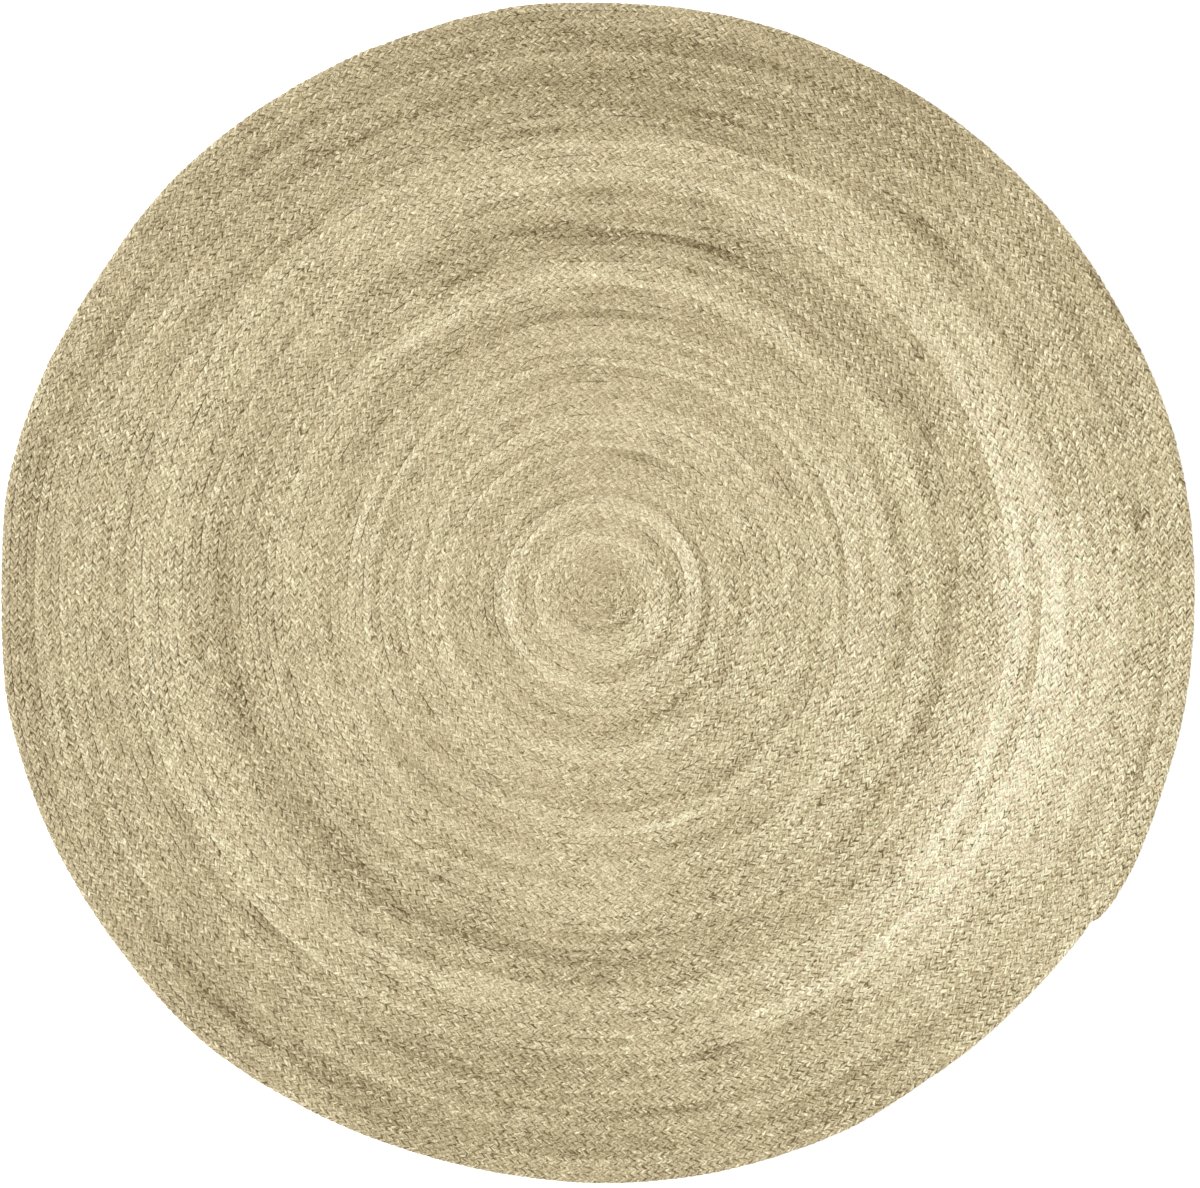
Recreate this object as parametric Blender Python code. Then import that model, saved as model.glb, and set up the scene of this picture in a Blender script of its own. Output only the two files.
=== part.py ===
"""Round jute rug: one long three-strand braid, coiled flat from the centre and sewn edge to edge.

The rug is one solid, in metres with +Z up. Its underside lies flat on the floor at Z = 0, and its
top carries the coil as one raised rib, with a crest along the braid and a valley along the seam.
Seen from above the coil winds outwards clockwise, and the end of the braid tapers into the edge.
The origin is the middle of the rug's box, on the floor. A bearing is an angle about the coil's
centre, anticlockwise from +X.
"""

import math
from collections import namedtuple

import bmesh
import bpy

BRAID_WIDTH = 0.01036  # one turn of the coil, from seam to seam
BRAID_HEIGHT = 0.0075  # from the floor to the crest
SEAM_DEPTH = 0.0018  # from the crest down to the seam
RIM_HEIGHT = 0.0038  # where the outermost turn is widest
RIM_TUCK = 0.0025  # how far the rim curls in from there to the floor
CORE_DIMPLE = 0.0009  # how far the very centre lies below the crest
CORE_RADIUS = 0.0077  # seam at the inner end of the braid

EDGE_RADIUS = 0.764  # rim at the tail, on an even coil
TAIL_BEARING = math.radians(326.5)
TAIL_STEPS = 1  # sections in which the braid's end tapers away
STEPS = 44  # sections in each turn

# How far the rim lies outside an even coil (negative is inside). It fades to nothing at the centre.
Lie = namedtuple("Lie", "bearing_deg out_mm")
LIES = (
    Lie(0, -2), Lie(15, 0), Lie(30, -3), Lie(45, -3), Lie(60, -2), Lie(75, -1),
    Lie(90, -2), Lie(105, 0), Lie(120, 0), Lie(135, 4), Lie(150, 4), Lie(165, 12),
    Lie(180, 9), Lie(195, 13), Lie(210, 10), Lie(225, 8), Lie(240, 1), Lie(255, -5),
    Lie(270, -3), Lie(285, -2), Lie(300, -4), Lie(315, -4), Lie(330, 2), Lie(345, -1),
)  # fmt: skip

JUTE_COLOUR = (0.56, 0.48, 0.30, 1.0)
JUTE_ROUGHNESS = 0.8

LAST = round((EDGE_RADIUS - CORE_RADIUS) / BRAID_WIDTH * STEPS)  # the tail's tip, in steps from the core


def clear_scene():
    for obj in list(bpy.data.objects):
        bpy.data.objects.remove(obj)


def lie_at(bearing):
    """How far the rim lies out at a bearing: a smooth curve through the rows of LIES, in metres."""
    place = bearing / math.tau * len(LIES)
    row = math.floor(place)
    before, here, after, beyond = (LIES[(row + i) % len(LIES)].out_mm / 1000 for i in (-1, 0, 1, 2))
    t = place - row
    bend = 2 * before - 5 * here + 4 * after - beyond
    twist = 3 * (here - after) + beyond - before
    return here + t * (after - before + t * (bend + t * twist)) / 2


def bearing_at(step):
    """The bearing of a section. Steps count outwards from the core, and the bearing falls clockwise."""
    return TAIL_BEARING + (LAST - step) / STEPS * math.tau


def seam_radius(step):
    """The outer seam of the turn at a step, on an even coil."""
    return CORE_RADIUS + step / STEPS * BRAID_WIDTH


def braid_share(step):
    """How much of its width the braid still has: all of it, until it tapers to its tip."""
    return min(1, (LAST - step) / TAIL_STEPS)


def crest_radius(step):
    inner_seam = seam_radius(step) - BRAID_WIDTH
    return inner_seam + BRAID_WIDTH / 2 * braid_share(step)


def outer_radius(step):
    inner_seam = seam_radius(step) - BRAID_WIDTH
    return inner_seam + BRAID_WIDTH * braid_share(step)


def coil_point(step, radius, height):
    """A point of the coil, moved out by the lie of the rug there."""
    bearing = bearing_at(step)
    lain = radius + lie_at(bearing) * (radius / EDGE_RADIUS) ** 2
    return lain * math.cos(bearing), lain * math.sin(bearing), height


def coil_crest(step):
    height = BRAID_HEIGHT - SEAM_DEPTH * (1 - braid_share(step))
    return coil_point(step, crest_radius(step), height)


def coil_seam(step):
    """The outer side of the braid: a sewn valley, or the open rim on the last turn."""
    on_rim = step >= LAST - STEPS
    height = RIM_HEIGHT if on_rim else BRAID_HEIGHT - SEAM_DEPTH
    return coil_point(step, outer_radius(step), height)


def rug_mesh():
    """The coil's top, its rim and its flat underside as one closed mesh."""
    shape = bmesh.new()
    core = shape.verts.new((0, 0, BRAID_HEIGHT - CORE_DIMPLE))
    crest = {step: shape.verts.new(coil_crest(step)) for step in range(1, LAST)}
    seam = {step: shape.verts.new(coil_seam(step)) for step in range(LAST)}
    seam[LAST] = seam[LAST - STEPS]  # the tip of the tail lies on the rim

    # The centre, inside the first turn's crest.
    for step in range(1, STEPS - 1):
        shape.faces.new((core, crest[step + 1], crest[step]))
    shape.faces.new((core, seam[0], crest[STEPS - 1]))
    shape.faces.new((seam[0], crest[STEPS], crest[STEPS - 1]))
    shape.faces.new((core, crest[1], seam[0]))

    # The outer slope of every turn, then the inner slope of every turn but the first.
    shape.faces.new((seam[0], crest[1], seam[1]))
    for step in range(1, LAST - 1):
        shape.faces.new((crest[step], crest[step + 1], seam[step + 1], seam[step]))
    shape.faces.new((crest[LAST - 1], seam[LAST], seam[LAST - 1]))
    for step in range(STEPS, LAST - 1):
        inner = step - STEPS
        shape.faces.new((seam[inner], seam[inner + 1], crest[step + 1], crest[step]))
    shape.faces.new((seam[LAST - 1 - STEPS], seam[LAST], crest[LAST - 1]))

    # The rim, curled under to the flat underside.
    rim = list(range(LAST - STEPS, LAST))
    sole = [shape.verts.new(coil_point(step, outer_radius(step) - RIM_TUCK, 0)) for step in rim]
    upper = [seam[step] for step in rim]
    for i in range(STEPS):
        j = (i + 1) % STEPS
        shape.faces.new((upper[i], upper[j], sole[j], sole[i]))
    shape.faces.new(sole)
    return shape


def centre_on_origin(shape):
    """Puts the middle of the rug's box over the origin."""
    xs = [vert.co.x for vert in shape.verts]
    ys = [vert.co.y for vert in shape.verts]
    middle = ((min(xs) + max(xs)) / 2, (min(ys) + max(ys)) / 2, 0)
    bmesh.ops.translate(shape, verts=shape.verts, vec=[-value for value in middle])


def jute():
    material = bpy.data.materials.new("jute")
    material.use_nodes = True
    surface = material.node_tree.nodes["Principled BSDF"]
    surface.inputs["Base Color"].default_value = JUTE_COLOUR
    surface.inputs["Roughness"].default_value = JUTE_ROUGHNESS
    material.diffuse_color = JUTE_COLOUR
    return material


def make_rug():
    shape = rug_mesh()
    centre_on_origin(shape)
    mesh = bpy.data.meshes.new("rug")
    shape.to_mesh(mesh)
    shape.free()
    mesh.materials.append(jute())
    mesh.shade_smooth()
    mesh.set_sharp_from_angle(angle=math.radians(50))
    rug = bpy.data.objects.new("rug", mesh)
    bpy.context.scene.collection.objects.link(rug)
    return rug


clear_scene()
make_rug()
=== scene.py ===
"""Round jute rug: one long three-strand plait, coiled flat from the centre and sewn turn to turn.

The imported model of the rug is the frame, in metres with +Z up, and its underside lies on the floor.
The plait is made here in several lengths that meet end to end along one coil. Seen from above the
coil winds outwards clockwise. A bearing is an angle about the coil's centre, anticlockwise from +X.
"""

import math
from collections import namedtuple

import bpy
import numpy as np
from bpy.props import FloatProperty, FloatVectorProperty, IntProperty, PointerProperty
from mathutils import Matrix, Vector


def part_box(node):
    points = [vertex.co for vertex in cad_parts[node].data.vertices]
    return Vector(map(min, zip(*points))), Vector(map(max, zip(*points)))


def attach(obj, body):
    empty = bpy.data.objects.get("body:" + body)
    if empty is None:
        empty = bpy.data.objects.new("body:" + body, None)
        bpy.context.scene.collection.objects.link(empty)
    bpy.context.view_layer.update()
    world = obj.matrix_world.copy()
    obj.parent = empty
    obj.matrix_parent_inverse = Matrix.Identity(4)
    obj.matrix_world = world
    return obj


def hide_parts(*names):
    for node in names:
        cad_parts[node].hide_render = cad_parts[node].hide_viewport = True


bl_info = {
    "name": "Round Braided Jute Rug",
    "version": (1, 0, 0),
    "blender": (4, 5, 0),
    "location": "3D View > Sidebar > Jute Rug",
    "description": "Makes a round rug from one coiled jute plait, and a plain studio round it",
    "category": "Add Mesh",
}

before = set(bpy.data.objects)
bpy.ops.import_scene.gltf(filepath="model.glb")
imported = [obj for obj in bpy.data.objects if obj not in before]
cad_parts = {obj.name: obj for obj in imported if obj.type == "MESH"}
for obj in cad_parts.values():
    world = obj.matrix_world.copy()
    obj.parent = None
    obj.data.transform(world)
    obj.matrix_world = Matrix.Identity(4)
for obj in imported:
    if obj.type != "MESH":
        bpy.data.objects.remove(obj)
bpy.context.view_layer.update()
RUG_LOW, RUG_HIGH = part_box("rug")

# The coil. Its core, its edge and its lies are the solid's, and its tail is shorter and blunter.
CORE_RADIUS = 0.0077  # seam at the inner end of the braid
EDGE_RADIUS = 0.764  # rim at the tail, on an even coil
TAIL_BEARING = math.radians(324.2)
TAIL_TURNS = 5 / 360  # the stretch in which the braid's end tapers away
TIP_SHARE = 0.25  # how much of its width the braid keeps at its tip
CURL_TURNS = -0.7  # where the braid starts, curled up inside its own first turn
LINE_STEPS = 240  # points in each turn of the coil's line

# How far the rim lies outside an even coil (negative is inside). It fades to nothing at the centre.
Lie = namedtuple("Lie", "bearing_deg out_mm")
LIES = (
    Lie(0, -2), Lie(15, 0), Lie(30, -3), Lie(45, -3), Lie(60, -2), Lie(75, -1),
    Lie(90, -2), Lie(105, 0), Lie(120, 0), Lie(135, 4), Lie(150, 4), Lie(165, 12),
    Lie(180, 9), Lie(195, 13), Lie(210, 10), Lie(225, 8), Lie(240, 1), Lie(255, -5),
    Lie(270, -3), Lie(285, -2), Lie(300, -4), Lie(315, -4), Lie(330, 2), Lie(345, -1),
)  # fmt: skip

# Short bulges and hollows of the outermost turns, on top of that: their middle and half length.
Bulge = namedtuple("Bulge", "bearing_deg span_deg out_mm")
BULGES = (
    Bulge(28, 4, -2), Bulge(66, 4, -2), Bulge(97, 5, 3), Bulge(108, 4, -2.5), Bulge(146, 5, -2.5),
    Bulge(170, 4, 3.5), Bulge(190, 4, 3.5), Bulge(216, 5, -2.5), Bulge(230, 5, 3),
    Bulge(295, 4, 3), Bulge(304, 4, -3.5), Bulge(340, 5, -2),
)  # fmt: skip
BULGE_FADE = 24  # the power of the distance from the centre with which they fade inwards

# The braid's section: how far each point lies across it, from seam (-1) to seam (1).
TOP_ACROSS = (-1, -0.86, -0.44, 0, 0.44, 0.86, 1)
SOLE_ACROSS = (0,)
SECTION_SQUARENESS = 4.6  # 2 is an ellipse, and more is squarer
SECTIONS_PER_LOBE = 4
SEAM_OVERLAP = 1.2  # the braid's own width against one turn of the coil

# How high a lobe stands on its way from one crease to the next.
LOBE_CURVE = ((0, 0), (0.25, 0.85), (0.5, 1), (0.75, 0.8), (1, 0))
COLUMN_LEAN = 0.2  # how much more the strands slant on the coil's inner side than on its outer

# Shades of jute by brightness, from the painted shade of the deepest gap to a painted glint, as sRGB.
Shade = namedtuple("Shade", "tone red green blue")
SHADES = (
    Shade(0.35, 106, 90, 51),
    Shade(0.53, 151, 135, 96),
    Shade(0.70, 194, 178, 139),
    Shade(0.85, 233, 217, 178),
    Shade(1.00, 255, 252, 215),
)

# Paler and darker rings where the yarn changes, by their distance from the coil's centre.
Ring = namedtuple("Ring", "radius_mm width_mm tone")
RINGS = (
    Ring(15, 34, -0.045), Ring(75, 12, 0.055), Ring(97, 8, -0.035), Ring(119, 9, 0.055),
    Ring(136, 6, -0.025), Ring(147, 6, 0.02), Ring(174, 16, -0.025), Ring(198, 6, 0.035),
    Ring(230, 18, 0.01), Ring(275, 16, -0.015), Ring(299, 6, 0.035), Ring(362, 16, -0.01),
    Ring(412, 14, 0.02), Ring(465, 34, -0.04), Ring(538, 14, 0.03), Ring(575, 20, 0.035),
    Ring(618, 20, -0.025), Ring(665, 24, -0.02), Ring(709, 18, -0.045), Ring(745, 16, -0.04),
)  # fmt: skip

# Stretches of the coil with paler or darker yarn, and broad painted sheen: their middle and their half
# lengths.
Patch = namedtuple("Patch", "bearing_deg span_deg radius_mm width_mm tone")
PATCHES = [Patch(*row) for row in (
    # The core and the first rings.
    (0, 999, 34, 9, -0.025), (30, 80, 50, 6, -0.03), (190, 60, 45, 8, -0.03), (80, 60, 80, 8, -0.035),
    (230, 50, 78, 10, -0.03), (340, 40, 97, 6, 0.035), (20, 40, 133, 8, 0.035), (15, 40, 155, 8, 0.03),
    (185, 20, 132, 8, 0.03), (255, 40, 132, 8, -0.02), (220, 30, 163, 7, -0.035), (250, 40, 190, 6, 0.02),
    (75, 20, 186, 6, 0.025), (230, 14, 226, 5, -0.025), (68, 25, 38, 12, -0.02), (265, 60, 43, 10, -0.04),
    (335, 30, 76, 12, 0.03), (30, 32, 99, 6, -0.05), (155, 28, 96, 6, -0.045), (305, 30, 96, 8, -0.025),
    (15, 30, 119, 8, 0.04), (190, 18, 118, 8, 0.02), (335, 25, 122, 8, 0.03), (20, 35, 137, 5, -0.035),
    (120, 35, 135, 5, -0.035), (170, 14, 140, 5, -0.045), (255, 28, 134, 6, -0.04),
    (338, 20, 140, 5, -0.06), (350, 24, 156, 6, 0.06), (148, 15, 149, 5, 0.03), (245, 16, 161, 5, -0.07),
    (302, 18, 167, 5, -0.07), (275, 22, 178, 6, -0.04), (55, 22, 172, 10, 0.025), (75, 9, 182, 5, -0.09),
    (5, 12, 188, 5, -0.05), (330, 30, 199, 6, 0.03), (110, 60, 208, 4, -0.05), (312, 8, 219, 5, -0.05),
    (255, 16, 223, 6, -0.04), (248, 14, 214, 4, 0.03), (155, 12, 243, 6, -0.035),
    # The middle rings.
    (262, 14, 257, 5, -0.03), (295, 22, 258, 5, -0.025), (290, 20, 271, 6, 0.035), (83, 14, 301, 4, -0.03),
    (150, 16, 306, 4, 0.03), (245, 34, 338, 12, -0.025), (90, 12, 318, 4, -0.03), (318, 12, 422, 8, 0.025),
    (160, 24, 437, 8, 0.025), (40, 7, 438, 6, 0.03), (82, 8, 436, 5, 0.03), (258, 14, 257, 6, -0.07),
    (95, 14, 255, 8, -0.03), (335, 15, 262, 9, 0.06), (10, 16, 272, 18, 0.05), (30, 12, 279, 6, -0.04),
    (100, 17, 284, 7, -0.06), (148, 15, 273, 6, -0.05), (218, 7, 285, 7, -0.06), (283, 12, 277, 4, -0.09),
    (303, 8, 283, 4, -0.05), (335, 14, 288, 6, -0.035), (278, 10, 288, 5, 0.06), (318, 8, 293, 4, 0.04),
    (85, 42, 301, 6, -0.05), (165, 35, 303, 5, 0.015), (285, 14, 306, 4, 0.04), (20, 22, 309, 5, -0.05),
    (15, 28, 328, 14, 0.045), (345, 28, 335, 24, 0.055), (245, 28, 325, 12, -0.045),
    (120, 40, 325, 12, -0.015), (160, 16, 340, 5, -0.035), (50, 26, 346, 5, 0.055),
    (88, 40, 358, 8, -0.055), (88, 48, 378, 16, -0.045), (115, 14, 356, 4, -0.04), (147, 10, 359, 4, -0.05),
    (185, 16, 352, 5, -0.055), (12, 20, 364, 10, 0.06), (326, 25, 366, 12, 0.05), (305, 6, 352, 6, -0.06),
    (331, 8, 353, 4, -0.06), (240, 8, 377, 6, -0.065), (258, 18, 388, 6, 0.045), (222, 8, 395, 7, -0.05),
    (14, 9, 389, 6, -0.08), (70, 5, 388, 6, -0.06), (85, 7, 391, 5, -0.05), (130, 4, 396, 4, -0.05),
    (320, 7, 391, 6, -0.075), (358, 5, 390, 5, -0.05), (40, 6, 402, 6, -0.06), (125, 30, 412, 12, 0.02),
    (340, 14, 420, 8, 0.04), (318, 8, 418, 6, 0.03), (80, 5, 413, 5, -0.05), (50, 6, 418, 5, -0.05),
    (104, 4, 412, 5, -0.06), (207, 5, 424, 4, -0.05), (285, 7, 409, 5, -0.06), (245, 35, 415, 12, -0.03),
    (275, 8, 437, 4, -0.05), (90, 35, 430, 8, -0.035),
    # The dark streaks at the top.
    (110, 10, 481, 8, 0.03), (45, 36, 520, 12, -0.02), (14, 8, 484, 5, 0.03), (92, 38, 466, 34, -0.022),
    (45, 20, 468, 30, -0.015), (56, 11, 440, 6, -0.06), (113, 5, 444, 7, -0.13), (131, 5, 449, 5, -0.06),
    (50, 14, 463, 6, -0.035), (75, 9, 467, 6, -0.14), (91, 7, 461, 6, -0.11), (99, 8, 475, 6, -0.10),
    (68, 5, 478, 5, -0.06), (118, 5, 471, 6, -0.05), (124, 5, 488, 5, -0.09), (27, 8, 467, 8, -0.05),
    (90, 5, 511, 6, -0.12), (75, 4, 514, 6, -0.08), (106, 5, 517, 7, -0.07), (90, 26, 506, 10, -0.03),
    (147, 17, 518, 5, -0.07), (16, 7, 511, 7, -0.08),
    # Dark streaks at the same distance, round the left and the bottom.
    (232, 10, 457, 6, 0.025), (233, 14, 477, 5, 0.03), (257, 14, 500, 14, -0.035),
    (297, 18, 486, 7, -0.025), (328, 10, 492, 7, -0.03), (340, 10, 508, 6, -0.02), (150, 25, 475, 30, 0.02),
    (178, 6, 485, 5, -0.06), (197, 5, 482, 7, -0.14), (188, 6, 490, 5, -0.04), (223, 8, 459, 7, -0.09),
    (240, 45, 470, 32, -0.03), (247, 6, 469, 5, -0.045), (263, 10, 455, 5, -0.055), (268, 7, 471, 7, -0.06),
    (268, 8, 492, 6, -0.055), (290, 14, 477, 5, -0.06), (282, 10, 500, 5, -0.065), (234, 6, 523, 6, -0.08),
    (244, 6, 514, 6, -0.06), (190, 22, 512, 9, -0.035), (337, 5, 443, 6, -0.11), (352, 5, 442, 5, -0.08),
    (325, 12, 437, 6, -0.06), (307, 9, 461, 7, 0.07), (338, 26, 476, 20, 0.10), (318, 12, 487, 5, -0.05),
    # The pale belt: bright on the right, weaker on the left and dull at the bottom.
    (335, 36, 512, 12, 0.09), (3, 10, 512, 10, 0.05), (352, 6, 511, 4, -0.08), (340, 36, 535, 14, 0.11),
    (18, 22, 538, 14, 0.07), (80, 18, 539, 6, 0.03), (265, 40, 539, 12, -0.06), (150, 50, 537, 12, -0.025),
    (305, 9, 557, 4, -0.08), (350, 14, 559, 5, -0.06), (158, 6, 555, 4, -0.06), (338, 34, 575, 22, 0.11),
    (308, 12, 573, 7, 0.06), (3, 12, 584, 16, 0.07), (262, 26, 573, 22, -0.075), (215, 30, 560, 14, -0.02),
    (88, 45, 570, 20, -0.03), (60, 35, 592, 4, 0.04), (250, 5, 577, 6, -0.05), (262, 16, 568, 5, 0.04),
    (306, 8, 585, 14, -0.03), (325, 8, 563, 6, -0.025),
    # The outer turns: dull at the top and bottom, pale on the right.
    (36, 14, 636, 14, -0.025), (195, 22, 636, 10, -0.025), (150, 30, 665, 14, 0.015),
    (298, 14, 680, 16, 0.02), (338, 10, 675, 16, -0.025), (62, 24, 722, 8, -0.03), (50, 30, 742, 8, -0.02),
    (236, 14, 740, 12, -0.02), (5, 8, 655, 10, 0.03), (85, 40, 600, 5, -0.05), (85, 42, 620, 18, -0.05),
    (98, 5, 600, 5, -0.06), (130, 7, 602, 5, -0.06), (14, 7, 606, 8, -0.05), (170, 7, 608, 4, -0.06),
    (260, 13, 591, 7, -0.06), (209, 4, 603, 5, -0.09), (226, 5, 601, 5, -0.09), (248, 5, 599, 5, -0.08),
    (283, 4, 600, 6, -0.10), (258, 24, 620, 24, -0.045), (345, 26, 616, 22, 0.10), (315, 12, 614, 12, 0.06),
    (4, 6, 617, 9, 0.07), (48, 5, 627, 7, -0.10), (76, 5, 633, 7, -0.06), (100, 20, 626, 4, -0.05),
    (215, 5, 640, 5, -0.08), (197, 6, 649, 5, -0.06), (244, 8, 632, 7, -0.045), (338, 27, 662, 24, 0.07),
    # The broad rows, 60 mm wide and more, are painted sheen: paler on the right and left, darker at the top
    # and bottom.
    (92, 36, 664, 24, -0.065), (92, 50, 690, 60, -0.034), (262, 50, 690, 60, -0.02),
    (345, 50, 670, 90, 0.035), (345, 45, 440, 80, 0.015), (180, 45, 680, 70, 0.015),
    (118, 8, 661, 5, -0.06), (262, 30, 660, 20, -0.03), (256, 5, 668, 5, -0.05), (280, 8, 664, 5, -0.06),
    (60, 14, 688, 6, -0.06), (220, 5, 681, 5, -0.07), (203, 5, 688, 6, -0.05), (152, 5, 678, 5, -0.05),
    (8, 4, 697, 6, -0.12), (22, 9, 693, 4, -0.06), (298, 9, 695, 4, -0.06), (335, 26, 708, 16, 0.075),
    (185, 18, 712, 12, 0.03), (10, 12, 712, 10, 0.035), (68, 38, 711, 14, -0.03), (92, 15, 721, 5, -0.055),
    (125, 6, 711, 8, -0.06), (155, 9, 706, 4, -0.07), (172, 13, 732, 5, -0.05), (238, 28, 712, 14, -0.04),
    (228, 7, 714, 6, -0.08), (243, 6, 698, 6, -0.07), (246, 8, 728, 6, -0.09), (262, 9, 722, 5, -0.05),
    (295, 6, 727, 5, -0.09), (337, 20, 727, 4, -0.05), (338, 26, 741, 14, 0.08), (15, 18, 740, 12, 0.04),
    (188, 22, 745, 10, -0.035), (30, 4, 752, 5, -0.09), (60, 5, 752, 5, -0.05),
)]  # fmt: skip

MEAN_TONE = 0.778
FRAME_MARGIN = 1.0051  # the view's width against the rug's
FRAME_SHIFT = (0.0026, -0.0013)  # where the view's middle lies from the rug's
LENS_MM = 90
KEY_PLACE = (-3.0, 0.35, 3.0)  # the key light shines from here on the rug's middle
KEY_SOFTNESS = math.radians(18)  # how wide the key light looks from the rug
FLOOR_HALF = 15.0
CREASE_ANGLE = math.radians(42)  # edges sharper than this are shaded as creases


# -------------------- sizes and colours


class JuteRugSizes(bpy.types.PropertyGroup):
    braid_width: FloatProperty(
        name="Braid Width", description="One turn of the coil, from seam to seam",
        default=0.01036, min=0.008, max=0.05, unit="LENGTH",
    )  # fmt: skip
    lobe_length: FloatProperty(
        name="Lobe Length", description="From one crossing to the next on the same side",
        default=0.0115, min=0.01, max=0.04, unit="LENGTH",
    )  # fmt: skip
    chevron: FloatProperty(
        name="Chevron", description="How far the strands slant between the middle and the seam",
        default=0.0058, min=0, max=0.02, unit="LENGTH",
    )  # fmt: skip
    crease_depth: FloatProperty(
        name="Crease Depth", description="How deep the gap between two lobes is",
        default=0.0016, min=0, max=0.004, unit="LENGTH",
    )  # fmt: skip
    groove_depth: FloatProperty(
        name="Groove Depth", description="How deep the braid's middle lies, where the strands cross",
        default=0.0005, min=0, max=0.004, unit="LENGTH",
    )  # fmt: skip
    side_bulge: FloatProperty(
        name="Side Bulge", description="How far a lobe stands out past a crease at the seam",
        default=0.0006, min=0, max=0.003, unit="LENGTH",
    )  # fmt: skip
    unevenness: FloatProperty(
        name="Unevenness", description="How much higher or lower one lobe is than the next",
        default=0.0007, min=0, max=0.002, unit="LENGTH",
    )  # fmt: skip
    slip: FloatProperty(
        name="Slip", description="How far the lobes slide along the braid",
        default=0.0018, min=0, max=0.004, unit="LENGTH",
    )  # fmt: skip
    wander: FloatProperty(
        name="Wander", description="How far the turns stray from an even coil",
        default=0.0028, min=0, max=0.01, unit="LENGTH",
    )  # fmt: skip
    lengths: IntProperty(
        name="Lengths", description="Lengths of braid that the coil is made in",
        default=6, min=6, max=12,
    )  # fmt: skip
    seed: IntProperty(
        name="Seed", description="Picks another arrangement of uneven lobes", default=7,
    )  # fmt: skip


class JuteRugStudio(bpy.types.PropertyGroup):
    floor_colour: FloatVectorProperty(
        name="Floor", description="Colour of the studio floor",
        default=(0.86, 0.86, 0.86), min=0, max=1, subtype="COLOR",
    )  # fmt: skip
    floor_glow: FloatProperty(
        name="Floor Glow", description="Light that the floor gives out, as a light table does",
        default=0.55, min=0,
    )  # fmt: skip
    key_strength: FloatProperty(
        name="Key Light", description="Strength of the soft light from the left",
        default=2.5, min=0,
    )  # fmt: skip
    sky_strength: FloatProperty(
        name="Surroundings", description="Strength of the even light from all round",
        default=0.64, min=0,
    )  # fmt: skip


# -------------------- node trees


class Field:
    """A value in a node tree. Arithmetic on it adds Math nodes."""

    def __init__(self, graph, socket):
        self.graph = graph
        self.socket = socket

    def __add__(self, other):
        return self.graph.maths("ADD", self, other)

    def __sub__(self, other):
        return self.graph.maths("SUBTRACT", self, other)

    def __rsub__(self, other):
        return self.graph.maths("SUBTRACT", other, self)

    def __mul__(self, other):
        return self.graph.maths("MULTIPLY", self, other)

    def __truediv__(self, other):
        return self.graph.maths("DIVIDE", self, other)

    def __pow__(self, other):
        return self.graph.maths("POWER", self, other)

    def __abs__(self):
        return self.graph.maths("ABSOLUTE", self)

    def __mod__(self, other):
        return self.graph.maths("FLOORED_MODULO", self, other)

    def __gt__(self, other):
        return self.graph.maths("GREATER_THAN", self, other)

    def __lt__(self, other):
        return self.graph.maths("LESS_THAN", self, other)


class Graph:
    """A node tree, with short calls for the nodes that go into it."""

    def __init__(self, tree):
        self.tree = tree

    def feed(self, socket, value):
        if isinstance(value, Field):
            self.tree.links.new(value.socket, socket)
        elif value is not None:
            socket.default_value = value

    def add(self, kind, values, output=0, **settings):
        """Adds a node with its settings and its named inputs, and gives one of its outputs."""
        node = self.tree.nodes.new(kind)
        for name, value in settings.items():
            setattr(node, name, value)
        for name, value in values.items():
            self.feed(next(s for s in node.inputs if s.enabled and s.name == name), value)
        shown = [socket for socket in node.outputs if socket.enabled]
        return Field(self, shown[output]) if shown else node

    def maths(self, operation, *values):
        node = self.tree.nodes.new("ShaderNodeMath")
        node.operation = operation
        for socket, value in zip(node.inputs, values):
            self.feed(socket, value)
        return Field(self, node.outputs[0])

    def vector_maths(self, operation, *values):
        node = self.tree.nodes.new("ShaderNodeVectorMath")
        node.operation = operation
        sockets = [socket for socket in node.inputs if socket.enabled]
        for socket, value in zip(sockets, values):
            self.feed(socket, value)
        return Field(self, next(socket for socket in node.outputs if socket.enabled))

    def vector(self, x, y, z):
        return self.add("ShaderNodeCombineXYZ", {"X": x, "Y": y, "Z": z})

    def parts(self, vector):
        node = self.tree.nodes.new("ShaderNodeSeparateXYZ")
        self.feed(node.inputs[0], vector)
        return [Field(self, socket) for socket in node.outputs]

    def ramp(self, value, start, end, low=0.0, high=1.0, interpolation="LINEAR"):
        """Turns value's stretch from start to end into low to high, and keeps it there."""
        values = {"Value": value, "From Min": start, "From Max": end, "To Min": low, "To Max": high}
        return self.add("ShaderNodeMapRange", values, interpolation_type=interpolation)

    def curve(self, value, points):
        """A drawn curve through points."""
        node = self.tree.nodes.new("ShaderNodeFloatCurve")
        drawn = node.mapping.curves[0].points
        while len(drawn) < len(points):
            drawn.new(0.5, 0.5)
        for point, place in zip(drawn, points):
            point.location = place
        node.mapping.update()
        self.feed(node.inputs["Value"], value)
        return Field(self, node.outputs[0])

    def noise(self, dimensions, place, scale=1.0, detail=0.0):
        """Smooth noise from 0 to 1, at a number for one dimension and at a vector for more."""
        name = "W" if dimensions == "1D" else "Vector"
        values = {name: place, "Scale": scale, "Detail": detail}
        return self.add("ShaderNodeTexNoise", values, noise_dimensions=dimensions)

    def dice(self, number):
        """A chance from 0 to 1, the same wherever the number is the same."""
        return self.add("ShaderNodeTexWhiteNoise", {"W": number}, noise_dimensions="1D")

    def attribute(self, name, output=2):
        """What a mesh carries, in a material: a vector at output 1, or a number at output 2."""
        return self.add("ShaderNodeAttribute", {}, output=output, attribute_name=name)

    def inputs(self):
        node = self.tree.nodes.new("NodeGroupInput")
        return {socket.name: Field(self, socket) for socket in node.outputs if socket.name}

    def outputs(self, values):
        node = self.tree.nodes.new("NodeGroupOutput")
        for name, value in values.items():
            self.feed(node.inputs[name], value)


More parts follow.
